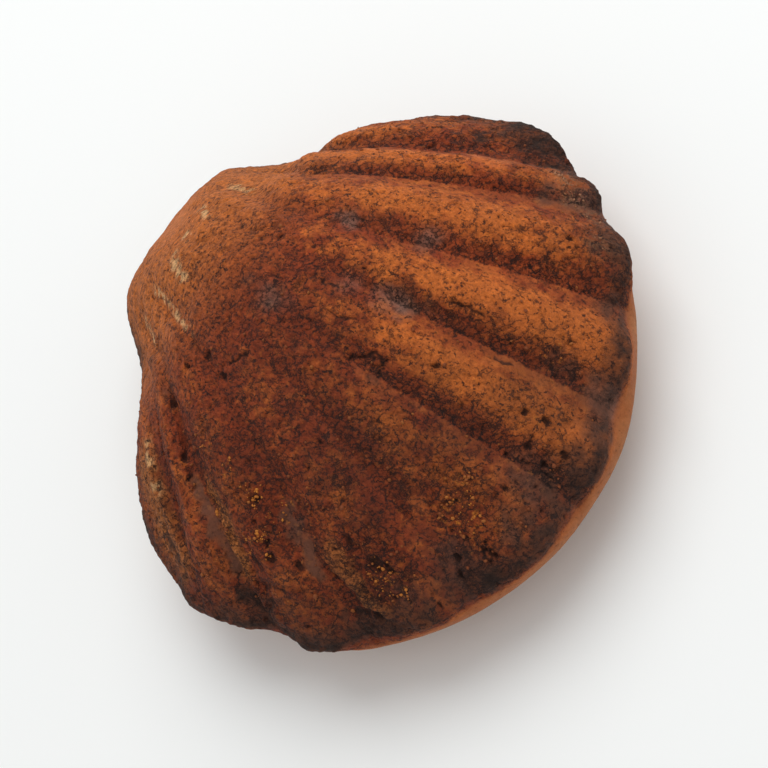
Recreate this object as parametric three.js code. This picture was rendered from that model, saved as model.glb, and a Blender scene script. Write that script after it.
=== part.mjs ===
// A shell-moulded butter mochi cake, lying ribbed side up on the flat of its soft underside.
// Millimetres and degrees, +Z up. The ribs fan out from the hinge, at -X, to the margin, at +X.
import * as THREE from 'three';
import { mergeVertices } from 'three/addons/utils/BufferGeometryUtils.js';

// Outline of the rim, seen from above.
const cakeLength = 76; // hinge to margin
const cakeWidth = 73;
const marginFullness = 0.12; // moves the widest place towards the margin
const endPinch = 0.14; // draws in both ends of the outline
// Places where it leaves the plain egg shape: a waist on each side of the hinge's knob,
// the knob's two corners, and a flatter stretch of the margin.
// Azimuths run from the margin, at 0, round over +Y.
const outlineSwells = [
  { azimuth: 141, halfWidth: 20, swell: -3.0 }, { azimuth: -134, halfWidth: 25, swell: -3.0 },
  { azimuth: 162, halfWidth: 20, swell: 0.9 }, { azimuth: -158, halfWidth: 20, swell: 1.5 },
  { azimuth: 32, halfWidth: 35, swell: -1.1 },
];
// Thin lips of crust that stand out from the rim alone.
const lips = [
  { azimuth: 87, halfWidth: 17, swell: 1.8 }, { azimuth: 116, halfWidth: 18, swell: 0.5 },
  { azimuth: -85, halfWidth: 9, swell: 1.9 }, { azimuth: -70, halfWidth: 12, swell: -1.5 },
];
const lipFlare = 8; // how suddenly a lip leaves the dome's slope

// The ribbed upper side.
const domeHeight = 22.5; // apex above the rim
const domeRoundness = 1.85; // 2 is a parabola, less is closer to a cone
const apexOffset = -7; // the highest place lies nearer to the hinge
const crownSag = 0.5; // slow unevenness of the crown

// The grooves between the ribs: the direction of each, from the hinge, where it leaves
// the hinge and where it ends at the margin.
const grooves = [
  [-88, -88], [-55, -54], [-38.5, -41], [-32, -32], [-19, -22.3], [-8.5, -11],
  [-2.5, 1.5], [8.5, 11], [17.5, 21.5], [31, 32.5], [44, 37.8], [57, 57], [88, 88],
];
// Height of the rib that follows each groove, from its bottom to its crest, at the margin.
const ribHeights = [1.6, 1.7, 2.2, 2.5, 1.4, 1.0, 1.9, 2.9, 2.7, 1.7, 2.6, 1.6];
const ribCrestWidth = 1.35; // above 1 the crests are broad and the grooves narrow
const steepestRib = 0.25; // a rib is never higher than this share of its width
const grooveTurn = { start: 0.4, end: 1.0 }; // where a groove swings from one direction to the other
const hingeSpread = { share: 0.65, start: 12, end: 30 }; // the fan is wider close to the hinge
const ribGrowth = { start: 4, end: 44 }; // distances from the hinge at which ribs appear and are full
const ribFade = { start: 0.04, end: 0.86 }; // from the apex to the rim, ribs rise from the crown
const lobeShare = 0.75; // how much of a rib's height shows as a lobe of the rim

// The smooth underside.
const humpDepth = 13; // rim above the table
const humpFullness = 2.6; // 2 is an ellipse, more is squarer
const humpSwell = 0.5; // how far it swells past the rim
// Where it is drawn in below the rim, and where it bulges out from under it.
const humpSwells = [
  { azimuth: 84, halfWidth: 40, swell: -3.4 }, { azimuth: 24, halfWidth: 26, swell: 1.0 },
  { azimuth: -80, halfWidth: 32, swell: -3.0 },
];
const lobeDepth = 4; // how far down the rim's lobes fade out
const flatDepth = 0.5; // what the flat cuts off the underside

// Fineness of the mesh.
const columns = 168;
const domeRows = 24;
const humpRows = 8;

const { clamp, degToRad, euclideanModulo, lerp, radToDeg, smoothstep } = THREE.MathUtils;

// How far the places of a list push the outline out at one azimuth.
function swellAt(azimuth, places) {
  return places.reduce((total, { azimuth: middle, halfWidth, swell }) => {
    const turn = radToDeg(azimuth) - middle;
    const away = Math.abs(euclideanModulo(turn + 180, 360) - 180);
    return total + swell * (1 - smoothstep(away, 0, halfWidth));
  }, 0);
}

// Shaped is 1 at the rim and 0 for a plain outline, without waist and knob.
function rimPoint(azimuth, shaped = 1) {
  const c = Math.cos(azimuth);
  const width = 1 + marginFullness * c - endPinch * c * c;
  const plain = new THREE.Vector2(cakeLength / 2 * c, cakeWidth / 2 * Math.sin(azimuth) * width);
  return plain.setLength(plain.length() + shaped * swellAt(azimuth, outlineSwells));
}

// Height of the ribs over a place in plan, above their own mean.
function ribRelief(place, outward) {
  const fromHinge = new THREE.Vector2(place.x + cakeLength / 2, place.y);
  const distance = fromHinge.length();
  const near = 1 - smoothstep(distance, hingeSpread.start, hingeSpread.end);
  const direction = Math.atan2(fromHinge.y, fromHinge.x) / (1 + hingeSpread.share * near);
  const chord = cakeLength * Math.max(Math.cos(direction), 0.2);
  const turn = smoothstep(distance / chord, grooveTurn.start, grooveTurn.end);
  const grooveAt = grooves.map(([atHinge, atMargin]) => degToRad(lerp(atHinge, atMargin, turn)));
  const grown = smoothstep(distance, ribGrowth.start, ribGrowth.end)
    * smoothstep(outward, ribFade.start, ribFade.end);

  const last = ribHeights.length - 1;
  const heightOf = (k) => {
    const width = distance * (grooveAt[k + 1] - grooveAt[k]);
    return Math.min(ribHeights[k] * grown, steepestRib * width);
  };
  const rib = clamp(grooveAt.filter((angle) => angle <= direction).length - 1, 0, last);
  const [low, high] = [grooveAt[rib], grooveAt[rib + 1]];
  const across = clamp(2 * (direction - low) / (high - low) - 1, -1, 1); // 0 on the crest, 1 in a groove
  // two ribs of unlike height meet at the same depth in the groove between them
  const next = clamp(rib + Math.sign(across), 0, last);
  const shared = (heightOf(rib) + heightOf(next)) / 2;
  const height = lerp(heightOf(rib), shared, smoothstep(Math.abs(across), 0.5, 1));
  return 0.5 * Math.cos(Math.PI * Math.abs(across) ** ribCrestWidth) * height;
}

// A point of the ribbed side; outward is 0 at the apex and 1 at the rim.
function domePoint(azimuth, outward) {
  const apex = new THREE.Vector2(apexOffset, 0);
  const place = apex.clone().lerp(rimPoint(azimuth), outward);
  const relief = ribRelief(place, outward);
  const lift = relief * (1 - outward ** 6);
  const push = relief * lobeShare * outward ** 3 + swellAt(azimuth, lips) * outward ** lipFlare;
  const lobe = rimPoint(azimuth).sub(apex).setLength(push);
  const sag = crownSag * Math.sin(place.x / 9 + 1) * Math.cos(place.y / 8) * (1 - outward);
  const height = domeHeight * (1 - outward ** domeRoundness) + lift + sag;
  return new THREE.Vector3(place.x + lobe.x, place.y + lobe.y, humpDepth + height);
}

// A point of the underside; downward is 0 at the rim and 1 at the middle of the flat.
function humpPoint(azimuth, downward) {
  const turn = downward * Math.PI / 2;
  const inward = Math.cos(turn) ** (2 / humpFullness);
  const depth = humpDepth * Math.sin(turn) ** (2 / humpFullness);
  const rim = domePoint(azimuth, 1);
  const plain = rimPoint(azimuth, 1 - downward ** 2);
  const lobes = 1 - smoothstep(depth, 0, lobeDepth);
  const swell = humpSwell + swellAt(azimuth, humpSwells);
  const swollen = plain.clone().setLength(plain.length() + swell * (1 - lobes));
  const edge = swollen.lerp(new THREE.Vector2(rim.x, rim.y), lobes);
  const height = Math.max(humpDepth - depth, flatDepth);
  return new THREE.Vector3(edge.x * inward, edge.y * inward, height);
}

function cakeGeometry() {
  const rows = domeRows + humpRows;
  const geometry = new THREE.SphereGeometry(1, columns, rows);
  geometry.rotateX(Math.PI / 2); // poles up and down
  const position = geometry.getAttribute('position');
  for (let i = 0; i < position.count; i += 1) {
    const onSphere = new THREE.Vector3().fromBufferAttribute(position, i);
    const row = Math.round(Math.acos(clamp(onSphere.z, -1, 1)) / Math.PI * rows);
    const column = Math.round(Math.atan2(onSphere.y, onSphere.x) / (2 * Math.PI) * columns);
    const azimuth = 2 * Math.PI * (column === -columns / 2 ? columns / 2 : column) / columns;
    const place = row <= domeRows
      ? domePoint(azimuth, row / domeRows)
      : humpPoint(azimuth, (row - domeRows) / humpRows);
    position.setXYZ(i, place.x, place.y, place.z);
  }
  geometry.deleteAttribute('normal');
  geometry.deleteAttribute('uv');
  const closed = mergeVertices(geometry);
  closed.computeBoundingBox();
  const middle = closed.boundingBox.getCenter(new THREE.Vector3());
  closed.translate(-middle.x, -middle.y, -closed.boundingBox.min.z);
  closed.computeVertexNormals();
  return closed;
}

const bakedCake = new THREE.MeshStandardMaterial({ color: 0x8a4420, roughness: 0.75, metalness: 0 });

const cake = new THREE.Mesh(cakeGeometry(), bakedCake);
cake.name = 'cake';

const butterMochiCake = new THREE.Group();
butterMochiCake.add(cake);

export default butterMochiCake;
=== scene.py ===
import math

import bpy
import numpy as np
from mathutils import Matrix, Vector


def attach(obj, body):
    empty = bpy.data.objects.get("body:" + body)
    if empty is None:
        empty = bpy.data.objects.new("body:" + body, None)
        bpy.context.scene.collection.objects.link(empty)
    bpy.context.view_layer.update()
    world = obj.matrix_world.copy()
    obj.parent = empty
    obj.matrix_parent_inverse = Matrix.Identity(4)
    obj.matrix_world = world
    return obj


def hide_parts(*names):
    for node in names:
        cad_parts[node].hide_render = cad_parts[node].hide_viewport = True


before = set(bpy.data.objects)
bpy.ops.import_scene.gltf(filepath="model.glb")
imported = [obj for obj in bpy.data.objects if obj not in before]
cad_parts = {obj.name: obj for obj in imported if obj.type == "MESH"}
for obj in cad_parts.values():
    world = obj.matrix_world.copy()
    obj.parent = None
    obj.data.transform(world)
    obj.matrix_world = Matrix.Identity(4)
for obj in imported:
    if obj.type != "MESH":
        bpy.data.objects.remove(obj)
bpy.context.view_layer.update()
milli = 0.001  # shapes are worked out in millimetres

# the cake's form, in millimetres and degrees
shape = {
    "length": 76, "width": 73, "marginFullness": 0.12, "endPinch": 0.14,
    # azimuth, half width and swell of the places where the outline leaves the plain egg
    "outlineSwells": [(141, 20, -3.0), (-134, 25, -3.0), (162, 20, 0.9), (-158, 20, 1.5), (32, 35, -1.1)],
    "lips": [(87, 17, 1.8), (116, 18, 0.5), (-85, 9, 1.9), (-70, 12, -1.5)], "lipFlare": 8,
    "domeHeight": 22.5, "domeRoundness": 1.85, "apexOffset": -7, "crownSag": 0.5,
    "grooveTurn": (0.4, 1.0), "hingeSpread": 0.65, "hingeSpreadOver": (12, 30),
    "ribCrestWidth": 1.35, "steepestRib": 0.25, "ribGrowth": (4, 44), "ribFade": (0.04, 0.86),
    "lobeShare": 0.75, "humpDepth": 13, "humpFullness": 2.6, "humpSwell": 0.5,
    "humpSwells": [(84, 40, -3.4), (24, 26, 1.0), (-80, 32, -3.0)],
    "lobeDepth": 4, "flatDepth": 0.5,
}
# direction of each groove as it leaves the hinge, and where it ends at the margin
grooves = np.array([
    (-88, -88), (-55, -54), (-38.5, -41), (-32, -32), (-19, -22.3), (-8.5, -11),
    (-2.5, 1.5), (8.5, 11), (17.5, 21.5), (31, 32.5), (44, 37.8), (57, 57), (88, 88),
])
ribHeights = np.array([1.6, 1.7, 2.2, 2.5, 1.4, 1.0, 1.9, 2.9, 2.7, 1.7, 2.6, 1.6])


def smoothStep(value, low, high):
    t = np.clip((value - low) / (high - low), 0, 1)
    return t * t * (3 - 2 * t)


def hashed(ix, iy, iz, seed):
    # the same number between 0 and 1 each time for one cell of a grid
    h = (ix * 374761393 + iy * 668265263 + iz * 1440662683 + seed * 1274126177) & 0xFFFFFFFF
    h = ((h ^ (h >> 13)) * 1103515245) & 0xFFFFFFFF
    h = ((h ^ (h >> 15)) * 2246822519) & 0xFFFFFFFF
    return ((h ^ (h >> 16)) & 0xFFFFFF) / 0xFFFFFF


def cloud(points, size, seed):
    # smooth noise between about -1 and 1, with lumps of the given size
    q = points / size
    cell = np.floor(q).astype(np.int64)
    f = q - cell
    w = f * f * f * (f * (f * 6 - 15) + 10)
    total = np.zeros(len(q))
    for corner in np.ndindex(2, 2, 2):
        c = cell + corner
        d = f - corner
        slope = [hashed(c[:, 0], c[:, 1], c[:, 2], seed + k) * 2 - 1 for k in range(3)]
        weight = np.prod([w[:, k] if corner[k] else 1 - w[:, k] for k in range(3)], axis=0)
        total += weight * sum(slope[k] * d[:, k] for k in range(3))
    return total * 1.6


def cells(points, size, seed):
    # distance to the nearest scattered point, in cells, and a random number of its own
    q = points / size
    cell = np.floor(q).astype(np.int64)
    nearest = np.full(len(q), 9.0)
    own = np.zeros(len(q))
    for step in np.ndindex(3, 3, 3):
        c = cell + np.array(step) - 1
        spot = np.stack([c[:, k] + hashed(c[:, 0], c[:, 1], c[:, 2], seed + k) for k in range(3)], 1)
        d = np.linalg.norm(q - spot, axis=1)
        closer = d < nearest
        nearest[closer] = d[closer]
        own[closer] = hashed(c[:, 0], c[:, 1], c[:, 2], seed + 7)[closer]
    return nearest, own


def swellAt(azimuth, places):
    # how far the places of a list push the outline out
    total = np.zeros(len(azimuth))
    for middle, halfWidth, swell in places:
        away = np.abs((np.degrees(azimuth) - middle + 180) % 360 - 180)
        total += swell * (1 - smoothStep(away, 0, halfWidth))
    return total


def rimPoint(azimuth, shaped=1.0):
    c, s = np.cos(azimuth), np.sin(azimuth)
    wide = 1 + shape["marginFullness"] * c - shape["endPinch"] * c * c
    plain = np.stack([shape["length"] / 2 * c, shape["width"] / 2 * s * wide], 1)
    reach = np.linalg.norm(plain, axis=1)
    return plain * (1 + shaped * swellAt(azimuth, shape["outlineSwells"]) / reach)[:, None]


def ribRelief(place, outward):
    # height over the ribs' own mean, how far up the rib (0 in a groove, 1 on a crest), how full
    # the ribs are there, and the place across the rib, from -1 to 1 towards the side at +Y
    away = place + (shape["length"] / 2, 0)
    distance = np.linalg.norm(away, axis=1)
    near = 1 - smoothStep(distance, *shape["hingeSpreadOver"])
    direction = np.degrees(np.arctan2(away[:, 1], away[:, 0])) / (1 + shape["hingeSpread"] * near)
    chord = shape["length"] * np.maximum(np.cos(np.radians(direction)), 0.2)
    turn = smoothStep(distance / chord, *shape["grooveTurn"])
    at = grooves[:, 0][None] + (grooves[:, 1] - grooves[:, 0])[None] * turn[:, None]
    grown = smoothStep(distance, *shape["ribGrowth"]) * smoothStep(outward, *shape["ribFade"])
    widths = distance[:, None] * np.radians(np.diff(at, axis=1))
    heights = np.minimum(ribHeights[None] * grown[:, None], shape["steepestRib"] * widths)
    last = len(ribHeights) - 1
    k = np.clip((direction[:, None] >= at).sum(1) - 1, 0, last)
    row = np.arange(len(k))
    low, high = at[row, k], at[row, k + 1]
    across = np.clip(2 * (direction - low) / (high - low) - 1, -1, 1)
    neighbour = np.clip(k + np.sign(across).astype(int), 0, last)
    shared = (heights[row, k] + heights[row, neighbour]) / 2
    height = heights[row, k] + (shared - heights[row, k]) * smoothStep(np.abs(across), 0.5, 1)
    profile = 0.5 * np.cos(np.pi * np.abs(across) ** shape["ribCrestWidth"])
    return profile * height, profile + 0.5, grown, across


def domePoint(azimuth, outward):
    apex = np.array([shape["apexOffset"], 0.0])
    rim = rimPoint(azimuth)
    place = apex + outward[:, None] * (rim - apex)
    relief = ribRelief(place, outward)[0]
    lift = relief * (1 - outward ** 6)
    push = relief * shape["lobeShare"] * outward ** 3
    push = push + swellAt(azimuth, shape["lips"]) * outward ** shape["lipFlare"]
    lobe = (rim - apex) / np.linalg.norm(rim - apex, axis=1)[:, None] * push[:, None]
    sag = shape["crownSag"] * np.sin(place[:, 0] / 9 + 1) * np.cos(place[:, 1] / 8) * (1 - outward)
    height = shape["domeHeight"] * (1 - outward ** shape["domeRoundness"]) + lift + sag
    return np.column_stack([place + lobe, shape["humpDepth"] + height])


def humpPoint(azimuth, downward):
    turn = downward * math.pi / 2
    inward = np.cos(turn) ** (2 / shape["humpFullness"])
    depth = shape["humpDepth"] * np.sin(turn) ** (2 / shape["humpFullness"])
    rim = domePoint(azimuth, np.ones(len(azimuth)))[:, :2]
    plain = rimPoint(azimuth, 1 - downward ** 2)
    lobes = (1 - smoothStep(depth, 0, shape["lobeDepth"]))[:, None]
    reach = np.linalg.norm(plain, axis=1)[:, None]
    swell = (shape["humpSwell"] + swellAt(azimuth, shape["humpSwells"]))[:, None]
    swollen = plain * (1 + swell * (1 - lobes) / reach)
    edge = swollen + (rim - swollen) * lobes
    height = np.maximum(shape["humpDepth"] - depth, shape["flatDepth"])
    return np.column_stack([edge * inward[:, None], height])


def skin(azimuth, along):
    # along is 0 at the apex, 1 at the rim and 2 in the middle of the underside
    above = domePoint(azimuth, np.clip(along, 0, 1))
    below = humpPoint(azimuth, np.clip(along - 1, 0, 1))
    return np.where((along <= 1)[:, None], above, below)


# rings of points from the apex over the rim to the middle of the underside, and how far along the
# skin the rim's edge is rounded off
fineness = {"domeRings": 160, "humpRings": 34, "humpDensity": 0.85, "humpBunching": 1.25,
            "rounding": 0.012, "roundedOver": 0.05}


def roundedSkin(azimuth, along):
    steps = (-1.0, -0.5, 0.0, 0.5, 1.0)
    near = np.exp(-((along - 1) / fineness["roundedOver"]) ** 2)
    return sum(skin(azimuth, along + s * fineness["rounding"] * near) for s in steps) / len(steps)


def ringPlan():
    # how many points each ring has, and how far along the skin it lies
    rings = [(0.0, 1)]
    for k in range(1, fineness["domeRings"] + 1):
        rings.append((k / fineness["domeRings"], 6 * k))
    rimCount = 6 * fineness["domeRings"]
    for k in range(1, fineness["humpRings"]):
        down = (k / fineness["humpRings"]) ** fineness["humpBunching"]
        inward = math.cos(down * math.pi / 2) ** (2 / shape["humpFullness"])
        count = int(rimCount * fineness["humpDensity"] ** min(k, 3) * inward)
        rings.append((1 + down, max(12, count)))
    rings.append((2.0, 1))
    return rings


def stitched(firstA, countA, firstB, countB):
    # triangles between two rings, whatever their counts
    if countA == 1:
        j = np.arange(countB)
        return np.stack([np.full(countB, firstA), firstB + j, firstB + (j + 1) % countB], 1)
    if countB == 1:
        i = np.arange(countA)
        return np.stack([firstA + i, np.full(countA, firstB), firstA + (i + 1) % countA], 1)
    middleA = (np.arange(countA) + 0.5) / countA
    middleB = (np.arange(countB) + 0.5) / countB
    i, j = np.arange(countA), np.arange(countB)
    tipB = np.searchsorted(middleB, middleA) % countB
    tipA = np.searchsorted(middleA, middleB, side="right") % countA
    fromA = np.stack([firstA + i, firstB + tipB, firstA + (i + 1) % countA], 1)
    fromB = np.stack([firstB + j, firstB + (j + 1) % countB, firstA + tipA], 1)
    return np.concatenate([fromA, fromB])


def normalsOf(points, faces):
    a, b, c = (points[faces[:, k]] for k in range(3))
    faceNormal = np.cross(b - a, c - a)
    total = np.zeros_like(points)
    for k in range(3):
        for axis in range(3):
            total[:, axis] += np.bincount(faces[:, k], faceNormal[:, axis], len(points))
    return total / np.linalg.norm(total, axis=1)[:, None]


def meshObject(name, points, faces, fields):
    mesh = bpy.data.meshes.new(name)
    mesh.vertices.add(len(points))
    mesh.vertices.foreach_set("co", (points * milli).astype(np.float32).ravel())
    mesh.loops.add(faces.size)
    mesh.loops.foreach_set("vertex_index", faces.astype(np.int32).ravel())
    mesh.polygons.add(len(faces))
    mesh.polygons.foreach_set("loop_start", np.arange(0, faces.size, 3, dtype=np.int32))
    mesh.update(calc_edges=True)
    mesh.validate()
    mesh.polygons.foreach_set("use_smooth", np.ones(len(mesh.polygons), bool))
    for key, values in fields.items():
        attribute = mesh.attributes.new(key, "FLOAT", "POINT")
        attribute.data.foreach_set("value", values.astype(np.float32))
    obj = bpy.data.objects.new(name, mesh)
    bpy.context.scene.collection.objects.link(obj)
    return obj


rings = ringPlan()
along = np.concatenate([np.full(n, a) for a, n in rings])
azimuth = np.concatenate([np.arange(n) / n * 2 * math.pi for a, n in rings])
azimuth = (azimuth + math.pi) % (2 * math.pi) - math.pi
starts = np.cumsum([0] + [n for a, n in rings])
faces = np.concatenate([
    stitched(starts[k], rings[k][1], starts[k + 1], rings[k + 1][1]) for k in range(len(rings) - 1)])
body = roundedSkin(azimuth, along)
plain = skin(azimuth, along)
print("form:", len(body), "points,", len(faces), "triangles")

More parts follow.
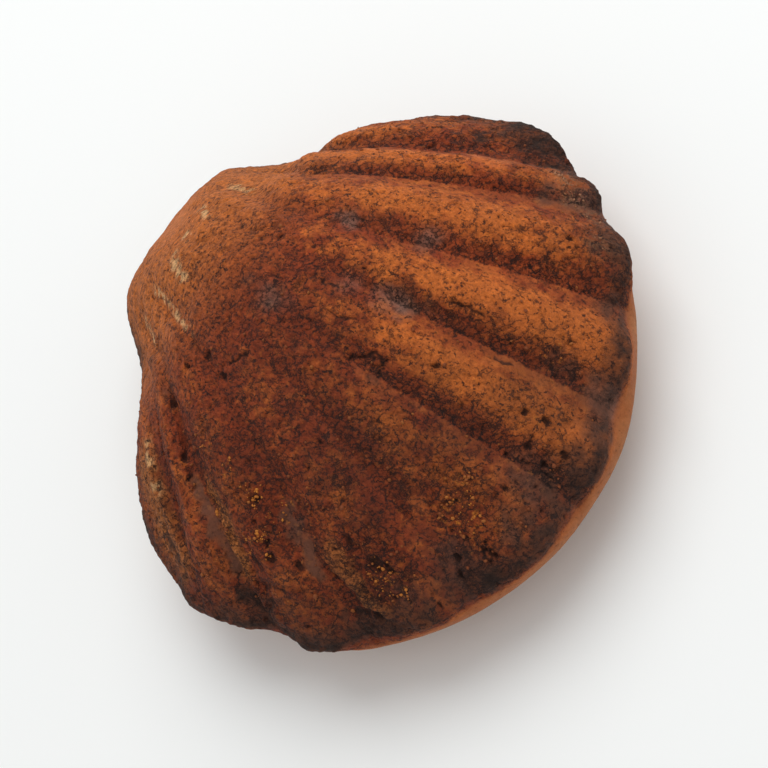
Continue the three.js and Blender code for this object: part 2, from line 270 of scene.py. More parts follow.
# what the baking left on the ribbed side, with places of painted light, painted shade and painted sheen
# among them: places are seen from above, in millimetres from the middle of the cake, each with a radius or a
# half width and a strength
marks = {
    "ridges": [
        ([(4.0, -25.7), (6.9, -27.4), (10.1, -29.2), (14.6, -31.0), (18.7, -31.8)], 1.0, 0.8),
        ([(-11.7, -24.8), (-9.5, -27.1), (-6.2, -29.3), (-1.4, -32.2), (3.3, -35.0)], 1.1, 0.8),
        ([(17.0, -20.6), (21.0, -21.6), (25.0, -22.5), (28.9, -22.0)], 0.9, 0.65),
        ([(-7.3, -22.3), (-4.0, -24.6), (-0.7, -27.7), (2.6, -29.8)], 0.7, 0.3),
    ],
    "creases": [
        ([(-24.5, -9.3), (-16, -10.2), (-7.7, -10.9), (-4.2, -11.4), (-0.8, -12.4)], 0.4, 0.22),
        ([(-10.9, -16.4), (-7.8, -18.9), (-4.6, -21.2), (-1.8, -23.6)], 0.5, 0.45),
        ([(-12.1, -20.7), (-7.9, -24.2), (-4.1, -27.1)], 0.4, 0.35),
        ([(-4.2, -22.2), (-1.9, -23.8), (0.4, -25.6)], 0.5, 0.45),
        ([(5.3, -31.2), (7.9, -31.0), (9.2, -29.8), (11.2, -29.2)], 0.35, 0.25),
        ([(11.0, -29.8), (15.5, -28.4), (19.4, -26.2)], 0.3, 0.2),
    ],
    "cracks": [
        ([(10.2, -1.5), (11.1, -0.4), (12.3, 0.8), (14.0, 2.2)], 0.32, 1.0),
        ([(13.6, 2.1), (14.6, 0.7), (14.2, -0.6)], 0.3, 0.8),
        ([(14.7, 12.2), (16.0, 12.9), (18.2, 13.3), (19.3, 13.2)], 0.36, 0.8),
        ([(5.1, 2.5), (7.4, 2.3), (9.9, 4.2)], 0.32, 0.6),
        ([(0.6, -7.0), (-0.2, -9.2), (-1.5, -10.7)], 0.36, 0.8),
        ([(-0.9, 1.9), (-3.6, 1.7)], 0.32, 0.6), ([(21.5, 10.0), (24.0, 10.8)], 0.36, 0.7),
        ([(22.5, -26.0), (24.4, -24.2), (28.6, -22.6)], 0.4, 0.6), ([(9.0, -26.2), (12.8, -28.2)], 0.3, 0.7),
    ],
    "streaks": [
        ([(-25.6, 7.9), (-22.5, 8.6), (-18.3, 9.2)], 0.9, 0.8), ([(-24.8, 3.3), (-19.2, 3.0)], 1.1, 1.0),
        ([(-22.9, -0.9), (-20.0, -0.9)], 1.1, 0.9), ([(-25.9, -12.4), (-18.6, -13.9)], 1.0, 1.0),
        ([(-22.2, -3.5), (-18.5, -4.6), (-14.5, -5.3)], 1.2, 1.0),
        ([(-24.7, -8.4), (-16, -9.2), (-7.7, -10.2)], 0.8, 0.9),
        ([(-12.4, -24.0), (-9.5, -27.1), (-6.2, -29.3)], 1.2, 0.9),
    ],
    "pores": [
        (28.8, 7.2, 0.6), (30.8, 7.8, 0.6), (19.1, 4.9, 0.5), (-1.5, -12.0, 0.8), (-4.9, -11.0, 0.75),
        (-7.2, -13.6, 0.5), (-5.9, 5.9, 0.55), (-8.6, -18.6, 0.6), (-15.2, -15.6, 0.5), (21.0, -18.3, 0.6),
        (24.8, -18.6, 1.1), (26.1, -17.9, 0.7), (31.4, -11.6, 0.5), (32.3, -17.5, 0.5), (32.3, -13.1, 0.45),
        (34.3, -8.8, 0.6), (33.4, -9.1, 0.45), (9.2, -21.4, 0.9), (16.7, -24.6, 0.7), (13.6, -26.0, 0.8),
        (-3.3, -22.9, 0.55), (-1.4, -24.4, 0.45), (-6.9, 27.8, 0.5), (12.6, -24.9, 0.6), (30.8, 4.2, 0.5),
        (33.0, 3.4, 0.5), (29.4, 1.6, 0.5), (34.2, 6.0, 0.5), (31.9, -1.9, 0.5), (17.2, 28.0, 0.5),
    ],
    "burns": [
        (-0.9, 37.7, 3.6, 1.0), (0.9, 38.5, 3.5, 1.0), (4.1, 37.9, 3.6, 1.0), (7.6, 36.3, 2.8, 0.9),
        (5.2, 35.6, 3.2, 0.8), (2.3, 36.0, 3.4, 0.9), (-3.6, 32.9, 1.7, 0.7), (-2.6, 34.8, 1.8, 0.7),
        (15.7, 34.4, 2.4, 0.6), (18.7, 32.7, 2.4, 0.6), (21.5, 30.8, 2.4, 0.55), (24.4, 28.4, 2.2, 0.45),
        (12.2, -31.2, 2.2, 0.9), (10.6, -32.2, 1.8, 0.7), (14.0, -30.8, 1.8, 0.8), (-2.5, -33.4, 1.4, 0.8),
        (-1.0, -34.1, 1.5, 0.8), (-3.4, -32.5, 1.2, 0.7), (24.4, -24.6, 1.4, 0.7), (26.4, -23.6, 1.5, 0.8),
        (28.2, -22.8, 1.3, 0.7), (22.8, -26.0, 1.4, 0.6), (36.2, 1.8, 2.6, 0.6), (36.8, 3.7, 2.4, 0.6),
        (31.5, -20.5, 2.6, 0.5), (14.0, -0.6, 1.6, 0.5),
    ],
    # darker places: partly browned crust, partly painted shade where the crust faces away from the light
    "toasted": [
        (33, 1, 8, 0.4), (31, -14, 10, 0.75), (18, -30, 11, 0.8), (25, -21, 9, 0.9), (16, -12, 9, 0.8),
        (37, 0, 7, 0.5), (8, -32, 9, 0.5), (-6, -30, 9, 0.45), (3, 38, 7, 0.5), (-26, -18, 3, 0.5),
        (20, 32, 7, 0.4), (4, -3, 14, 0.4), (24.5, -1.6, 7, 0.9), (29, -4, 7, 0.8), (13, -6, 10, 0.55),
        (18.5, -2.5, 7, 0.7), (30.5, 9.5, 5, 0.95), (33, 6, 5, 0.7), (6, -20, 9, 0.6), (0, -20, 7, 0.45),
        (12, -22, 7, 0.5), (20, 5, 6, 0.5), (22, 12.5, 4, 0.2), (34, 13, 4, 0.8), (25, 8, 5, 0.6),
        (25, 17, 5, 0.3), (30, 20, 4, 0.3), (22, -14.7, 6, 0.95), (16.5, -13.9, 7, 0.9),
        (23.4, -8.2, 6, 0.9), (21.4, -4.5, 6, 0.85), (28, 7.8, 4.5, 0.9), (30.3, 10.8, 4, 0.9),
        (8.3, -9.4, 7, 0.6), (-27, -18, 4, 0.9), (-30, -14, 3, 0.6), (24.5, -1.6, 9, 1.0), (27, 9, 7, 1.0),
        (17, -7, 9, 0.9),
    ],
    "plums": [
        (33.5, 1.5, 6.5, 0.9), (36.5, 6.5, 4.5, 0.9), (36.0, -4.0, 5.5, 0.9), (31.5, -12.5, 5.0, 0.9),
        (34.5, -11.0, 4.0, 0.8), (29.0, -19.0, 4.5, 0.8), (26.5, -22.0, 4.0, 0.6), (34.5, 11.0, 3.5, 0.8),
        (31.5, 15.0, 4.0, 0.9), (27.0, 13.9, 3.5, 0.7), (-1.1, -0.8, 3.2, 0.7), (-5.2, -0.3, 2.4, 0.5),
        (-10.3, -17.5, 2.8, 0.7), (-18.7, -15.9, 2.6, 0.6), (5.2, -3.0, 2.2, 0.4), (11.0, 8.8, 3.6, 0.8),
        (14.0, 10.4, 2.8, 0.6), (-1.4, 12.8, 2.4, 0.7), (7.3, 16.2, 3.4, 0.6), (10.3, 31.2, 3.4, 0.8),
        (12.2, 32.4, 3.4, 0.8), (14.6, -21.0, 3.2, 0.7), (17.4, -22.4, 3.0, 0.8), (2.5, -26.7, 2.6, 0.8),
        (-1.0, -24.4, 2.4, 0.6), (6.6, -29.2, 2.6, 0.8), (25.5, 24.6, 3.5, 0.7), (20.5, 30.6, 4.0, 0.7),
    ],
    # painted light: places whose colour is made lighter to offset the shade that falls on them, such as the
    # top rib's flank under the lip
    "paintedLight": [
        (-7.7, 27.9, 5.0, 0.9), (-2.8, 25.9, 4.0, 0.8), (1.7, 34.2, 3.5, 0.6), (3.4, 28.5, 4.0, 0.8),
        (9.1, 17.2, 5.0, 1.0), (15.7, 21.3, 5.0, 0.8), (20.0, 23.4, 4.0, 0.6), (25.0, 24.8, 4.0, 0.6),
        (0.5, 11.3, 5.0, 0.6), (32.8, 4.3, 3.0, 0.5), (9.9, -27.8, 3.5, 0.7), (25.2, -22.3, 3.5, 0.8),
        (3.6, -26.9, 3.0, 0.5), (21.0, -19.6, 3.5, 0.7), (32.8, 3.9, 4.0, 0.8), (32.0, -11.0, 5.0, 0.8),
        (5.0, 16.0, 5.0, 0.5), (-4.6, 8.0, 6.0, 0.5), (-8.0, 12.0, 6.0, 0.4),
    ],
    # painted sheen: greyish patches that stand in for the gloss of smooth places
    "paintedSheens": [
        (-1.4, 12.6, 2.2, 0.8), (9.1, 7.4, 2.6, 0.8), (10.7, 7.8, 2.4, 0.9), (7.2, 16.6, 3.0, 0.5),
        (-0.8, -0.7, 3.4, 0.6), (5.0, 6.2, 2.4, 0.5), (13.5, 34.2, 2.6, 0.8), (33.0, 14.2, 3.0, 0.7),
    ],
    "flakes": [
        (8.2, 34.5, 2.0, 0.7), (10.0, 34.5, 2.2, 0.9), (12.6, 33.4, 2.2, 0.9), (14.4, 33.0, 2.0, 0.9),
        (16.4, 32.6, 2.0, 0.7), (20.4, 30.4, 2.4, 0.6),
    ],
    "crumbPlaces": [
        (24.6, -18.0, 5.0, 1.0), (11.0, -23.0, 5.5, 0.7), (29.5, -6.0, 7, 0.6), (12, -32, 4, 0.6),
    ],
    "goldPlaces": [
        (4.5, -20.2, 1.6, 0.9), (8.6, -21.1, 1.9, 1.0), (11.9, -20.3, 1.5, 1.0), (12.1, -22.2, 1.4, 0.8),
        (11.8, -24.5, 1.8, 0.9), (10.1, -26.2, 1.8, 1.0), (13.1, -25.8, 1.5, 0.9), (2.4, -24.7, 1.0, 0.8),
        (3.1, -25.8, 1.0, 0.9), (-0.4, -19.8, 1.1, 0.6), (25.7, -19.2, 3.0, 0.7), (28.6, -18.4, 2.4, 0.6),
        (30.2, -6.9, 4.2, 0.8), (28.6, -5.2, 3.2, 0.6), (26.0, 15.6, 3.0, 0.5), (29.5, 7.0, 2.5, 0.3),
    ],
    "smoothPlaces": [
        (28.5, -12.0, 4.0, 0.5), (31.5, -16.0, 3.0, 0.5), (2.0, 31.0, 4.0, 0.5), (31.5, 14.5, 3.6, 0.9),
        (11.0, 31.4, 3.0, 0.7), (-30.0, 0.0, 7.0, 0.5), (34.5, 10.0, 3.0, 0.6),
    ],
    "tanLines": [
        ([(0.8, -21.8), (4.4, -25.0), (8.0, -28.0), (11.8, -30.4)], 1.8, 0.8),
        ([(18.0, -19.6), (21.4, -21.2), (25.6, -22.2), (28.9, -22.0)], 1.4, 0.6),
        ([(-13.7, -24.8), (-10.5, -27.8), (-6.9, -30.4), (-1.9, -33.2), (3.3, -35.5)], 3.2, 0.8),
    ],
    "plumLines": [
        ([(-2.0, -23.5), (1.0, -25.7), (5.6, -28.7), (10.4, -31.6)], 1.5, 1.0),
        ([(11.0, -18.9), (13.4, -20.4), (16.5, -21.9), (18.2, -23.2), (20.5, -24.6)], 1.5, 1.0),
    ],
    "smoothLines": [
        ([(-2.0, -23.5), (2.5, -26.7), (5.6, -28.7), (8.4, -30.4), (10.4, -31.6)], 1.4, 1.0),
        ([(10.5, -18.6), (12.9, -20.1), (16.5, -21.9), (18.2, -23.2), (20.5, -24.6)], 1.5, 1.0),
        ([(24.0, -8.5), (28.0, -11.0), (33.0, -14.0)], 2.0, 0.8),
        ([(20.0, 9.3), (27.3, 11.9), (33.0, 14.0)], 1.5, 0.6),
    ],
}
crackLie = (0.74, 0.67, 0.0)  # most of the fine cracks lie this way


def nearPlaces(place, spots, core=0.35):
    # 1 in the middle of a place, out to a share of its radius, and 0 outside it
    total = np.zeros(len(place))
    for x, y, radius, strength in spots:
        away = np.hypot(place[:, 0] - x, place[:, 1] - y)
        total = np.maximum(total, strength * (1 - smoothStep(away, core * radius, radius)))
    return total


def nearLines(place, lines):
    # 1 on a line and 0 beyond its half width; a line fades out towards its two ends
    total = np.zeros(len(place))
    for points, halfWidth, strength in lines:
        line = np.array(points, float)
        lengths = np.linalg.norm(np.diff(line, axis=0), axis=1)
        begin = np.concatenate([[0], np.cumsum(lengths)])
        nearest = np.full(len(place), 99.0)
        covered = np.zeros(len(place))
        for k, (a, b) in enumerate(zip(line[:-1], line[1:])):
            t = np.clip(((place - a) @ (b - a)) / lengths[k] ** 2, 0, 1)
            away = np.linalg.norm(place - a - t[:, None] * (b - a), axis=1)
            closer = away < nearest
            nearest[closer] = away[closer]
            covered[closer] = (begin[k] + t[closer] * lengths[k]) / begin[-1]
        ends = smoothStep(covered, 0, 0.2) * (1 - smoothStep(covered, 0.8, 1))
        total = np.maximum(total, strength * ends * (1 - smoothStep(nearest, 0.2 * halfWidth, halfWidth)))
    return total


# how the crust varies over the cake, with lengths in millimetres
cover = {
    # how far along the skin the crust is still full, and where it has ended; the second number
    # of each is added where the crust reaches further round the rim: round +84 degrees it wraps the rim, and
    # round -70 degrees its colour is carried down the underside as a painted shadow
    "crustFull": (1.025, 0.03), "crustGone": (1.075, 0.15), "crustWrapsAndShadow": [(84, 45, 1), (-70, 46, 1)],
    "wanderSize": 5, "fraySize": 1.1, "fineFraySize": 0.6, "patchSize": 6, "speckleSize": 1.7,
    "domeReach": 38, "humpReach": 1.3,  # from along the skin, or a depth, to a distance from the rim
    "roughness": 0.95, "litSideSmooths": 0.5, "flankRoughens": 0.25, "placeSmooths": 0.7,
    "rimBand": (2.0, 1.4), "rimBurn": 0.75, "burnBelow": 2.2, "rimToast": 0.35, "rimToastReach": 5,
    "hingeUnburnt": 0.85, "hingeReach": (4, 11),
}


def drift(size, seeds):
    # bends what is looked up by place, so that its edges wander
    return np.stack([cloud(plain, size, seed) for seed in seeds], 1)


place = plain[:, :2]
toHinge = np.hypot(place[:, 0] + shape["length"] / 2, place[:, 1])
onTop = along <= 1
below = (shape["humpDepth"] - plain[:, 2]) * cover["humpReach"]
rimGap = np.where(onTop, (1 - along) * cover["domeReach"], below)
wander = drift(cover["wanderSize"], (301, 311))
fray = drift(cover["fraySize"], (321, 331))
bent = place + 0.9 * wander + 0.7 * fray
frayed = place + 0.3 * fray + 0.25 * drift(cover["fineFraySize"], (341, 351))
patchy = cloud(plain, cover["patchSize"], 11)
speckled = cloud(plain, cover["speckleSize"], 21)


def crustFields():
    # where each kind of surface lies, from 0 to 1 at each point of the mesh
    wrapAndShadow = swellAt(azimuth, cover["crustWrapsAndShadow"])
    full, gone = (start + more * wrapAndShadow for start, more in (cover["crustFull"], cover["crustGone"]))
    upper = 1 - smoothStep(along, full, gone)

    # a rib's side towards +Y faces the key light and is smoother, and is painted lighter as painted light;
    # its other side is crumbly and takes the flank colour as painted shade
    crest, grown, across = ribRelief(place, np.clip(along, 0, 1))[1:]
    side = across + 0.3 * patchy + 0.3 * speckled
    litSide = smoothStep(side, 0.25, 0.95) * smoothStep(grown, 0.1, 0.6)
    litSide = litSide * (0.35 + 0.65 * smoothStep(place[:, 1], -14, -2))
    flank = smoothStep(-side, 0.0, 0.85) * smoothStep(grown, 0.03, 0.5) * upper
    smoothed = np.maximum(nearPlaces(bent, marks["smoothPlaces"]), nearLines(bent, marks["smoothLines"]))
    rough = cover["roughness"] - cover["litSideSmooths"] * litSide
    rough = rough + cover["flankRoughens"] * smoothStep(-side, 0.0, 0.8) * grown
    rough = rough * (1 - cover["placeSmooths"] * smoothed) + 0.5 * nearPlaces(bent, marks["crumbPlaces"])
    rough = np.clip(rough + 0.15 * patchy, 0.12, 1.3) * upper

    # the rim and some places are burnt, and the crust is browner round about them
    band = np.exp(-(rimGap / np.where(onTop, *cover["rimBand"])) ** 2)
    margin = 0.85 + 0.5 * cloud(plain, 7, 31) + 0.5 * speckled
    hingeStart, hingeWidth = cover["hingeReach"]
    awayFromHinge = 1 - cover["hingeUnburnt"] * np.exp(-((toHinge - hingeStart) / hingeWidth) ** 2)
    spots = nearPlaces(bent, marks["burns"]) * (0.75 + 0.6 * speckled)
    spots = spots * np.where(onTop, 1, np.exp(-(rimGap / cover["burnBelow"]) ** 2))
    burn = np.clip(cover["rimBurn"] * band * margin, 0, 1)
    burn = np.clip(np.maximum(burn, spots), 0, 1) * awayFromHinge
    # the toast field darkens the colour: partly browning, partly painted shade
    toastAndShade = nearPlaces(place + 2 * wander, marks["toasted"], 0.0) * np.where(onTop, 1, 0)
    rimToast = cover["rimToast"] * np.exp(-(rimGap / cover["rimToastReach"]) ** 2)
    toastAndShade = np.clip(toastAndShade + rimToast * upper * awayFromHinge, 0, 1)

    plum = np.maximum(nearPlaces(bent, marks["plums"], 0.1), nearLines(bent, marks["plumLines"]))
    streak = nearLines(place + 0.25 * wander + 0.15 * fray, marks["streaks"]) * upper
    # the crest and flank colours, in part painted light and shade on the ribs, show most in the middle and
    # less below and at the top
    ribLightShade = 0.35 + 0.65 * smoothStep(place[:, 1], -11, 7)
    ribLightShade = ribLightShade * (1 - 0.5 * smoothStep(place[:, 1], 22, 29))
    return {
        "crest": crest * grown ** 0.6 * ribLightShade, "flank": flank * ribLightShade, "upper": upper, "rough": rough,
        "burn": burn, "toastAndShade": toastAndShade, "plum": plum * upper * np.clip(0.85 + 0.5 * speckled, 0, 1),
        "streak": streak * smoothStep(cloud(plain, 1.1, 41) + 0.3, 0.0, 0.5),
        # painted light: lighter colour in these places
        "paintedLight": nearPlaces(place + 1.2 * wander, marks["paintedLight"], 0.0) * upper,
        "gold": nearPlaces(bent, marks["goldPlaces"], 0.1) * upper,
        "flake": nearPlaces(bent, marks["flakes"], 0.1) * upper,
        "paintedSheen": nearPlaces(bent, marks["paintedSheens"], 0.0) * upper,
        "tan": nearLines(bent, marks["tanLines"]) * upper,
        "toHinge": toHinge / shape["length"], "rimGap": np.clip(rimGap / 10, 0, 2),
    }


# heights over the plain form, in millimetres; waves are the size of the lumps, a seed and a height
relief = {
    "crustWaves": [(7, 111, 0.2), (3.1, 121, 0.15)], "underWaves": [(9, 131, 0.12), (2.2, 141, 0.03)],
    "crumbWaves": [(1.5, 151, 0.11), (0.8, 161, 0.09)], "burntWaves": [(1.5, 171, 0.14)],
    "burntSunk": 0.08, "grainSize": 0.8, "grainHeight": 0.14,
    "mainCrack": 0.35, "pore": 0.5, "crumbPlace": 0.25, "crack": 0.2, "crackWidth": 0.1,
    "pit": 0.3, "pitSpacing": 1.5, "pitRadius": (0.1, 0.36), "pitsMoreBeyond": (18, 26),
    "crackDrawnOut": 0.45,
    # how much painted shade each of them gets
    "crackShade": 0.55, "pitShade": 0.9, "poreShade": 1.5, "mainCrackShade": 1.3, "creaseShade": 1.0,
}


def waves(kind):
    return sum(height * cloud(plain, size, seed) for size, seed, height in relief[kind])


def crustRelief(has):
    # the height of the crust at each point, and the painted shade where it lies deep in a crack, pit, pore
    # or crease
    upper, rough, burn = has["upper"], has["rough"], has["burn"]
    lie = np.array(crackLie)
    drawn = plain - relief["crackDrawnOut"] * (plain @ lie)[:, None] * lie
    ripple = cloud(drawn, 2.3, 51) + 0.35 * cloud(drawn, 0.9, 61)
    torn = smoothStep(cloud(plain, 3.4, 71) + 0.25 * cloud(plain, 1.5, 81), 0.0, 0.35)
    cracked = (1 - smoothStep(np.abs(ripple), 0.0, relief["crackWidth"])) * torn * np.clip(rough, 0, 1)

    pitGap, pitOwn = cells(plain, relief["pitSpacing"], 91)
    pitShare = 0.3 * rough + 1.2 * has["plum"] * smoothStep(place[:, 0], *relief["pitsMoreBeyond"])
    pitted = 1 - smoothStep(pitGap * relief["pitSpacing"] + 0.15 * speckled, *relief["pitRadius"])
    pitted = pitted * smoothStep(pitOwn + np.clip(pitShare, 0, 1), 1.0, 1.2) * upper

    grainGap, grainOwn = cells(plain, relief["grainSize"], 101)
    grains = (0.55 - grainGap) * (0.4 + 0.9 * grainOwn)
    crumbly = np.clip(rough + 0.7 * burn, 0, 1.6) * (0.5 + 0.5 * smoothStep(toHinge, 8, 24))
    pores = nearPlaces(frayed, [(x, y, r, 1.0) for x, y, r in marks["pores"]]) * upper
    mainCrack = nearLines(frayed + 0.1 * wander, marks["cracks"]) * upper
    creases = nearLines(frayed + 0.3 * wander, marks["creases"]) * upper
    ridges = nearLines(frayed + 0.3 * wander, marks["ridges"]) * upper
    sunken = nearPlaces(bent, marks["crumbPlaces"][:1]) * upper

    height = upper * waves("crustWaves") + (1 - upper) * waves("underWaves")
    height += crumbly * (waves("crumbWaves") + relief["grainHeight"] * grains)
    height += burn * (waves("burntWaves") - relief["burntSunk"])
    height += ridges - creases - relief["mainCrack"] * mainCrack - relief["pore"] * pores
    height -= relief["crumbPlace"] * sunken + relief["crack"] * cracked + relief["pit"] * pitted
    # painted shade in cracks, pits, pores and creases
    deep = relief["crackShade"] * cracked + relief["pitShade"] * pitted + relief["poreShade"] * pores
    deep += relief["mainCrackShade"] * mainCrack + relief["creaseShade"] * creases
    return height, np.clip(deep, 0, 1)


fields = crustFields()
height, fields["deep"] = crustRelief(fields)
form = body + height[:, None] * normalsOf(body, faces)
shift = (plain.min(0) + plain.max(0)) / 2
shift[2] = plain[:, 2].min()
form = form - shift
form[:, 2] = np.maximum(form[:, 2], 0)  # it rests on the table
print("crust:", round(float(height.min()), 2), "to", round(float(height.max()), 2), "mm")
cake = meshObject("cake_crust", form, faces, fields)


# crumbs that stick to the crust, all in one mesh; sizes in millimetres
crumb = {"count": 900, "small": 0.08, "large": 0.26, "sunk": 0.45, "seed": 12,
         "onRough": 0.05, "onGold": 0.8, "onFlakes": 0.6}


def icosahedron():
    t = (1 + math.sqrt(5)) / 2
    points = np.array([(-1, t, 0), (1, t, 0), (-1, -t, 0), (1, -t, 0), (0, -1, t), (0, 1, t),
                       (0, -1, -t), (0, 1, -t), (t, 0, -1), (t, 0, 1), (-t, 0, -1), (-t, 0, 1)])
    sides = np.array([(0, 11, 5), (0, 5, 1), (0, 1, 7), (0, 7, 10), (0, 10, 11), (1, 5, 9), (5, 11, 4),
                      (11, 10, 2), (10, 7, 6), (7, 1, 8), (3, 9, 4), (3, 4, 2), (3, 2, 6), (3, 6, 8),
                      (3, 8, 9), (4, 9, 5), (2, 4, 11), (6, 2, 10), (8, 6, 7), (9, 8, 1)])
    return points / np.linalg.norm(points[0]), sides


def scatteredCrumbs(has):
    draw = np.random.default_rng(crumb["seed"])
    likely = crumb["onRough"] * np.clip(has["rough"], 0, 1) + crumb["onGold"] * has["gold"]
    likely = has["upper"] * (likely + crumb["onFlakes"] * has["flake"])
    likely = likely * np.minimum(along, 1) * (0.12 + np.clip(cloud(plain, 1.5, 181), 0, 1))
    likely = likely * smoothStep(toHinge, 20, 40) * smoothStep(rimGap, 0.8, 3.0)
    chosen = draw.choice(len(form), crumb["count"], p=likely / likely.sum())
    ball, sides = icosahedron()
    n = len(chosen)
    size = crumb["small"] + (crumb["large"] - crumb["small"]) * draw.random(n) ** 2.2
    stretch = 0.6 + 0.8 * draw.random((n, 1, 3))
    uneven = 0.75 + 0.5 * draw.random((n, len(ball), 1))
    turns = np.linalg.qr(draw.normal(size=(n, 3, 3)))[0]
    turns[:, :, 0] *= np.linalg.det(turns)[:, None]
    local = ball[None] * uneven * stretch * size[:, None, None]
    centre = form[chosen] + normalsOf(form, faces)[chosen] * (size * (1 - 2 * crumb["sunk"]))[:, None]
    points = (local @ turns.transpose(0, 2, 1)) + centre[:, None]
    joined = (sides[None] + np.arange(n)[:, None, None] * len(ball)).reshape(-1, 3)
    bright = np.clip(has["gold"][chosen] + 0.5 * draw.random(n) - 0.25, 0, 1) * (1 - has["burn"][chosen])
    pale = np.clip(has["flake"][chosen] * 1.2, 0, 1)
    marked = {"gold": np.repeat(bright, len(ball)), "flake": np.repeat(pale, len(ball))}
    return points.reshape(-1, 3), joined, marked


crumbs = meshObject("cake_crumbs", *scatteredCrumbs(fields))
print("crumbs:", crumb["count"])


class Wire:
    # one output of a node; arithmetic on it adds the nodes that it needs
    def __init__(self, tree, socket=None):
        self.tree = tree
        self.socket = socket

    def node(self, kind, settings=None, values=None, output=0):
        made = self.tree.nodes.new(kind)
        for key, value in (settings or {}).items():
            setattr(made, key, value)
        for key, value in (values or {}).items():
            if isinstance(value, Wire):
                self.tree.links.new(value.socket, made.inputs[key])
            else:
                made.inputs[key].default_value = value
        return Wire(self.tree, made.outputs[output])

    def worked(self, operation, first, second):
        vectors = [isVector(first), isVector(second)]
        if not any(vectors):
            return self.node("ShaderNodeMath", {"operation": operation}, {0: first, 1: second})
        if all(vectors):
            return self.node("ShaderNodeVectorMath", {"operation": operation}, {0: first, 1: second})
        # a number and a vector are only ever multiplied here
        vector, number = (first, second) if vectors[0] else (second, first)
        return self.node("ShaderNodeVectorMath", {"operation": "SCALE"}, {0: vector, "Scale": number})

    def __add__(self, other):
        return self.worked("ADD", self, other)

    def __radd__(self, other):
        return self.worked("ADD", other, self)

    def __sub__(self, other):
        return self.worked("SUBTRACT", self, other)

    def __rsub__(self, other):
        return self.worked("SUBTRACT", other, self)

    def __mul__(self, other):
        return self.worked("MULTIPLY", self, other)

    def __rmul__(self, other):
        return self.worked("MULTIPLY", other, self)

    def between(self, low, high):
        # 0 below low, 1 above high and smooth from one to the other
        settings = {"interpolation_type": "SMOOTHSTEP", "clamp": True}
        return self.node("ShaderNodeMapRange", settings, {"Value": self, "From Min": low, "From Max": high})

    def mixed(self, other, share):
        # this colour, with a share of the other one
        settings = {"data_type": "RGBA", "clamp_factor": True}
        return self.node("ShaderNodeMix", settings, {0: share, 6: self, 7: other}, 2)


def isVector(value):
    return isinstance(value, tuple) or isinstance(value, Wire) and value.socket.type != "VALUE"


def paint(red, green, blue):
    # a colour as a screen shows it, turned into the linear values that a shader works with
    shares = [v / 255 for v in (red, green, blue)]
    return tuple(((v + 0.055) / 1.055) ** 2.4 if v > 0.04 else v / 12.92 for v in shares) + (1,)


def newLook(name):
    material = bpy.data.materials.new(name)
    material.use_nodes = True
    tree = material.node_tree
    return material, tree.nodes["Principled BSDF"], Wire(tree)


def flat(start, colour):
    wire = start.node("ShaderNodeRGB")
    wire.socket.default_value = colour
    return wire


def field(start, name):
    return start.node("ShaderNodeAttribute", {"attribute_name": name}, output="Fac")


def inMillimetres(start):
    return start.node("ShaderNodeTexCoord", output="Object") * 1000


def noise(at, size, detail=2.0, coarse=0.5, move=0.0, output=0):
    values = {"Vector": at * (1 / size) + (move, move * 1.7, -move), "Scale": 1.0, "Detail": detail,
              "Roughness": coarse}
    return at.node("ShaderNodeTexNoise", None, values, output)


def scatter(at, size, output="Distance", feature="F1", move=0.0):
    values = {"Vector": at * (1 / size) + (move, -move * 1.3, move * 0.6), "Scale": 1.0}
    return at.node("ShaderNodeTexVoronoi", {"feature": feature}, values, output)


def edges(at, size, wide, move=0.0):
    # 1 on the borders between scattered cells and 0 away from them
    return 1 - scatter(at, size, "Distance", "DISTANCE_TO_EDGE", move).between(*wide)


def linked(start, shader, key, wire):
    start.tree.links.new(wire.socket, shader.inputs[key])


crustLook = {
    "crestColour": (200, 104, 38), "centreColour": (134, 52, 17), "flankColour": (136, 59, 22),
    "smoothLitColour": (178, 98, 40), "hingeColour": (202, 113, 44), "plumColour": (96, 55, 38),
    "tanColour": (188, 116, 58), "streakColour": (216, 166, 112), "goldColour": (202, 120, 36),
    "flakeColour": (176, 124, 86), "paintedSheenColour": (134, 98, 84), "underColour": (172, 114, 66),
    "toastedColour": (154, 82, 34), "bandColour": (80, 44, 27), "burntColour": (50, 27, 15),
    "hollowShadeColour": (36, 14, 7),
    # sizes in millimetres
    "lumpSize": 5.0, "blotchSize": 1.8, "fineSize": 0.55, "gritSize": 0.8, "grainSize": 0.5,
    "crackSize": 1.8, "splitSize": 0.85, "choppedSize": 1.1, "warpSize": 0.9, "warpReach": 1.9,
    # shares of the dark colours, most of them painted shade in hollows, and of painted light and shade in
    # places
    "crackShare": 0.9, "splitShare": 0.75, "speckShare": 0.55, "deepShare": 0.8,
    "toastAndShadeDarkens": 0.45, "paintedLightGain": 0.3, "crestCalms": 0.38,
    # heights in millimetres
    "grainHeight": 0.14, "fineHeight": 0.12, "fineHeightRough": 0.36, "gritHeight": 0.35,
    "crackDepth": 0.16, "splitDepth": 0.1,
    "roughnessRough": 0.85, "roughnessSmooth": 0.62, "specular": 0.35, "bumpStrength": 1.0,
}


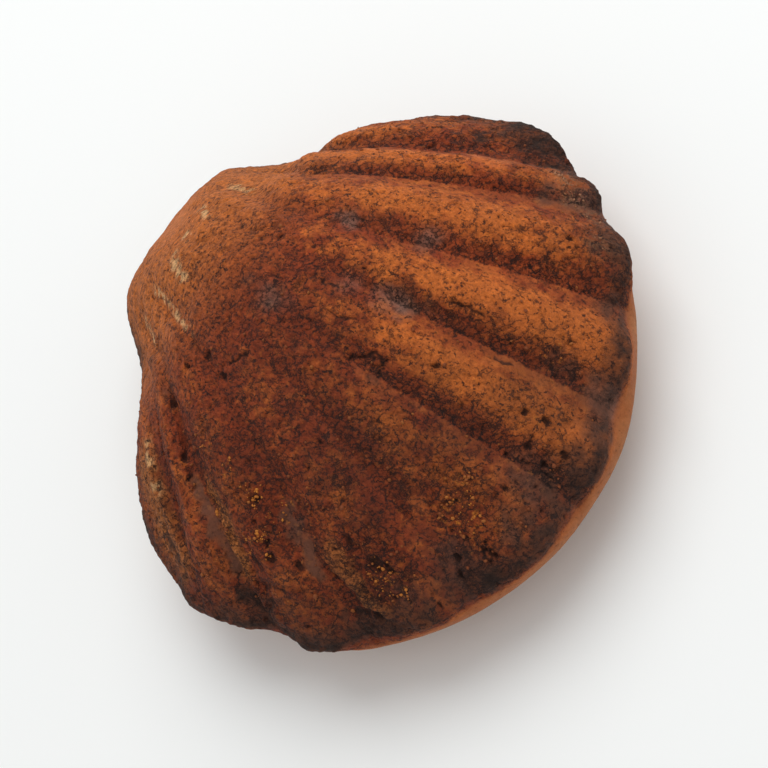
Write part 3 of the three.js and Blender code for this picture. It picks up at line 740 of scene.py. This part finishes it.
def crustPatterns(at, has, look):
    pattern = {
        "lumps": noise(at, look["lumpSize"], 3, 0.6),
        "blotch": noise(at, look["blotchSize"], 3, 0.6, move=7.3),
        "fine": noise(at, look["fineSize"], 4, 0.75, move=3.1),
        "calm": 1 - has["crest"] * look["crestCalms"],
        "hinge": 1 - has["toHinge"].between(0.22, 0.5),
        "grainGap": scatter(at, look["grainSize"]),
    }
    # a net of short cracks that lie mostly one way, in two sizes
    warp = noise(at, look["warpSize"], 4, 0.75, 4.4, 1) - (0.5, 0.5, 0.5)
    warped = at + warp * look["warpReach"]
    dot = {"operation": "DOT_PRODUCT"}
    alongLie = warped.node("ShaderNodeVectorMath", dot, {0: warped, 1: crackLie}, "Value")
    drawn = warped - alongLie * (crackLie[0] * 0.35, crackLie[1] * 0.35, 0.0)
    chopped = noise(at, look["choppedSize"], 3, 0.6, 5.9)
    rough = has["rough"]
    dense = has["flank"] * 0.05 + has["toastAndShade"] * 0.04 - (1 - rough) * 0.12
    dense = dense - has["crest"] * 0.07 - pattern["hinge"] * 0.04
    cracks = edges(drawn, look["crackSize"], (0.01, 0.08)) * (chopped + dense).between(0.5, 0.57)
    splits = edges(drawn, look["splitSize"], (0.02, 0.13), 8.1) * (1 - chopped + dense).between(0.45, 0.54)
    pattern["cracks"] = cracks * rough.between(0.1, 0.6) * has["upper"]
    pattern["splits"] = splits * rough.between(0.1, 0.7) * has["upper"]
    pattern["grit"] = noise(drawn, look["gritSize"], 3, 0.7, 9.3)
    grainColour = scatter(at, look["grainSize"], "Color")
    pattern["grainTint"] = at.node("ShaderNodeSeparateColor", None, {0: grainColour})
    specks = pattern["fine"].between(0.56, 0.65) * (0.4 + rough * 0.6)
    pattern["specks"] = specks * has["upper"] * pattern["calm"]
    return pattern


def crustTone(start, at, has, look, pattern):
    colour = {key: paint(*value) for key, value in look.items() if isinstance(value, tuple)}
    lumps, blotch, fine = pattern["lumps"], pattern["blotch"], pattern["fine"]
    rough, toastAndShade, calm = has["rough"], has["toastAndShade"], pattern["calm"]

    # the browned crust, from its orange crests to its plum-brown places, with painted light, painted shade
    # and painted sheen in places
    warmth = has["crest"] * 1.05 + (1 - rough) * 0.35
    warmth = (warmth + (blotch - 0.5) * 1.3 + (lumps - 0.5) * 1.1).between(0.05, 0.95)
    tone = flat(start, colour["centreColour"]).mixed(colour["crestColour"], warmth)
    # painted shade: the ribs' sides turned from the light take the flank colour
    tone = tone.mixed(colour["flankColour"], has["flank"] * (0.2 + blotch * 0.8))
    # painted light: smooth places, the ribs' lit sides among them, are painted lighter
    tone = tone.mixed(colour["smoothLitColour"], (1 - rough).between(0.3, 0.8) * 0.45)
    tone = tone.mixed(colour["hingeColour"], pattern["hinge"] * 0.75)
    tone = tone.mixed(colour["plumColour"], (has["plum"] * (0.4 + blotch)).between(0.05, 0.8) * 0.9)
    tone = tone.mixed(colour["tanColour"], has["tan"] * (0.5 + blotch * 0.7))
    tone = tone.mixed(colour["streakColour"], has["streak"] * 0.95)
    flecked = (has["gold"] * 0.8 + (lumps - 0.5) * 0.5 + 0.1) * pattern["grainTint"].between(0.72, 0.9)
    tone = tone.mixed(colour["goldColour"], flecked * noise(at, 0.8, 1, 0.5, 2.7).between(0.45, 0.6))
    tone = tone.mixed(colour["flakeColour"], has["flake"] * fine.between(0.4, 0.6))
    # painted sheen over the crust's colour
    tone = tone.mixed(colour["paintedSheenColour"], has["paintedSheen"] * (0.2 + fine))
    shade = (pattern["grainTint"] - 0.5) * 0.3 * rough + (0.5 - fine) * 1.8 * (rough * 0.7 + 0.3)
    shade = 1 + (shade + (pattern["grit"] - 0.5) * 1.5 * rough) * (calm * 0.9 + 0.1)
    # darker in the toast places, partly browning and partly painted shade, and lighter in the places of
    # painted light
    shade = shade * (1 - toastAndShade * look["toastAndShadeDarkens"]) * (1 + has["paintedLight"] * look["paintedLightGain"])
    tone = tone * shade

    # the soft underside, toasted near the rim
    toasted = 1.15 - has["rimGap"].between(0.0, 0.9) + (lumps - 0.5) * 1.3
    under = flat(start, colour["underColour"]).mixed(colour["toastedColour"], toasted)
    under = under * (1 + (blotch - 0.5) * 0.55 + (0.5 - fine) * 0.8 - fine.between(0.6, 0.68) * 0.35)
    tone = under.mixed(tone, has["upper"])

    # what is burnt, and painted shade in what lies deep: hollows, cracks, splits and specks
    burn = has["burn"]
    scorched = burn * 1.15 + (fine - 0.5) * 0.9 * burn + (blotch - 0.5) * 0.5 * burn
    tone = tone.mixed(colour["bandColour"], scorched.between(0.05, 0.7) * 0.8)
    tone = tone.mixed(colour["burntColour"], scorched.between(0.55, 1.1))
    tone = tone.mixed(colour["hollowShadeColour"], pattern["specks"] * look["speckShare"])
    tone = tone.mixed(colour["hollowShadeColour"], has["deep"].between(0.15, 0.9) * look["deepShare"])
    tone = tone.mixed(colour["hollowShadeColour"], pattern["cracks"] * look["crackShare"])
    return tone.mixed(colour["hollowShadeColour"], pattern["splits"] * look["splitShare"])


def crustMaterial(look):
    material, shader, start = newLook("baked_crust")
    at = inMillimetres(start)
    has = {name: field(start, name) for name in fields}
    pattern = crustPatterns(at, has, look)
    linked(start, shader, "Base Color", crustTone(start, at, has, look, pattern))
    rough, fine = has["rough"], pattern["fine"]
    gloss = look["roughnessSmooth"] + rough * (look["roughnessRough"] - look["roughnessSmooth"])
    linked(start, shader, "Roughness", gloss + (fine - 0.5) * 0.25)
    heightMap = (0.45 - pattern["grainGap"]) * look["grainHeight"] * rough
    heightMap = heightMap + (0.5 - fine) * (look["fineHeight"] + rough * look["fineHeightRough"])
    heightMap = heightMap + (pattern["grit"] - 0.5) * look["gritHeight"] * rough
    heightMap = heightMap - pattern["cracks"] * look["crackDepth"] - pattern["splits"] * look["splitDepth"]
    bump = start.node("ShaderNodeBump", None, {
        "Strength": look["bumpStrength"], "Distance": milli, "Height": heightMap})
    linked(start, shader, "Normal", bump)
    shader.inputs["Specular IOR Level"].default_value = look["specular"]
    return material


crumbLook = {"darkColour": (120, 60, 26), "goldColour": (192, 116, 40), "flakeColour": (162, 114, 82),
             "roughness": 0.75, "specular": 0.35}


def crumbMaterial(look):
    material, shader, start = newLook("baked_crumbs")
    tone = flat(start, paint(*look["darkColour"])).mixed(paint(*look["goldColour"]), field(start, "gold"))
    tone = tone.mixed(paint(*look["flakeColour"]), field(start, "flake"))
    linked(start, shader, "Base Color", tone)
    shader.inputs["Roughness"].default_value = look["roughness"]
    shader.inputs["Specular IOR Level"].default_value = look["specular"]
    return material


cake.data.materials.append(crustMaterial(crustLook))
crumbs.data.materials.append(crumbMaterial(crumbLook))
for piece in (cake, crumbs):
    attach(piece, "root")
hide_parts("cake")
print("looks done")

# the photograph's angle: how the camera is turned round the cake, and where it aims beside its middle
view = {"azimuth": 87, "elevation": 57.2, "roll": -49.6, "distance": 0.3324, "lens": 120.8, "sensor": 36,
        "aside": (0.0035, -0.0028), "rimHeight": 0.0125}


def cameraAxes():
    a, e, r = (math.radians(view[k]) for k in ("azimuth", "elevation", "roll"))
    back = Vector((math.sin(a) * math.cos(e), -math.cos(a) * math.cos(e), math.sin(e)))
    level = Vector((0, 0, 1)).cross(back).normalized()
    rise = back.cross(level)
    right = level * math.cos(r) + rise * math.sin(r)
    up = rise * math.cos(r) - level * math.sin(r)
    return right, up, back


right, up, back = cameraAxes()
middle = Vector((-shift[0] * milli, -shift[1] * milli, view["rimHeight"]))
target = middle + right * view["aside"][0] + up * view["aside"][1]
cameraData = bpy.data.cameras.new("camera")
cameraData.lens = view["lens"]
cameraData.sensor_width = view["sensor"]
camera = bpy.data.objects.new("camera", cameraData)
bpy.context.scene.collection.objects.link(camera)
turned = Matrix((right, up, back)).transposed().to_4x4()
camera.matrix_world = Matrix.Translation(target + back * view["distance"]) @ turned
bpy.context.scene.camera = camera

# metres and watts; the light's direction is in the picture: right, up, towards the camera
studio = {"floorHalf": 3.0, "floorColour": (242, 244, 243), "floorRoughness": 0.6, "skyStrength": 0.64,
          "keyDirection": (-0.3, 0.82, 0.49), "keyDistance": 0.8, "keySize": 0.85, "keyPower": 4.1}


def layFloor():
    half = studio["floorHalf"]
    corners = [(-half, -half, 0), (half, -half, 0), (half, half, 0), (-half, half, 0)]
    mesh = bpy.data.meshes.new("floor")
    mesh.from_pydata(corners, [], [(0, 1, 2, 3)])
    floor = bpy.data.objects.new("floor", mesh)
    bpy.context.scene.collection.objects.link(floor)
    material, shader = newLook("floor")[:2]
    shader.inputs["Base Color"].default_value = paint(*studio["floorColour"])
    shader.inputs["Roughness"].default_value = studio["floorRoughness"]
    mesh.materials.append(material)
    return floor


def hangKeyLight():
    lamp = bpy.data.lights.new("key", "AREA")
    lamp.shape = "DISK"
    lamp.size = studio["keySize"]
    lamp.energy = studio["keyPower"]
    obj = bpy.data.objects.new("key", lamp)
    bpy.context.scene.collection.objects.link(obj)
    x, y, z = studio["keyDirection"]
    away = (right * x + up * y + back * z).normalized()
    obj.location = target + away * studio["keyDistance"]
    obj.rotation_mode = "QUATERNION"
    obj.rotation_quaternion = away.to_track_quat("Z", "Y")


floor = layFloor()
hangKeyLight()
world = bpy.data.worlds.new("studio")
bpy.context.scene.world = world
world.use_nodes = True
world.node_tree.nodes["Background"].inputs["Color"].default_value = (1, 1, 1, 1)
world.node_tree.nodes["Background"].inputs["Strength"].default_value = studio["skyStrength"]
bpy.context.scene.view_settings.view_transform = "Standard"
print("stage done")
